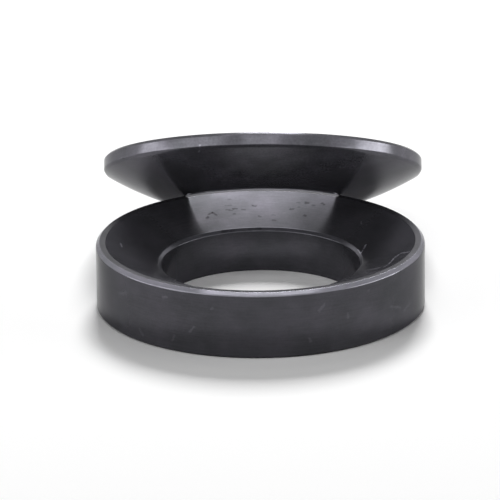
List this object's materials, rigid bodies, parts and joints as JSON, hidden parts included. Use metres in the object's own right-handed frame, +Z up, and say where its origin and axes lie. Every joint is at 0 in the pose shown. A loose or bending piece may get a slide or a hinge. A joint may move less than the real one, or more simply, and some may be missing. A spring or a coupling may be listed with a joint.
{
  "type": "spherical washer with conical seat",
  "caption": "Spherical washer with a ball-shaped underside, leaning on its conical seat ring; together they let a bolt head or nut sit square over a slightly sloping face.",
  "frame": {"origin": "centre of the conical seat's bore, in the plane of its flat base", "axes": "+Z up along the seat's axis, +Y towards the back, where the washer leans down to the table, +X to the right"},
  "size_m": [0.024, 0.0373, 0.0118],
  "materials": {
    "black_oxide_steel": "black oxide over turned steel"
  },
  "bodies": {
    "root": {"spherical_washer": "black_oxide_steel", "conical_seat": "black_oxide_steel"}
  },
  "joints": []
}
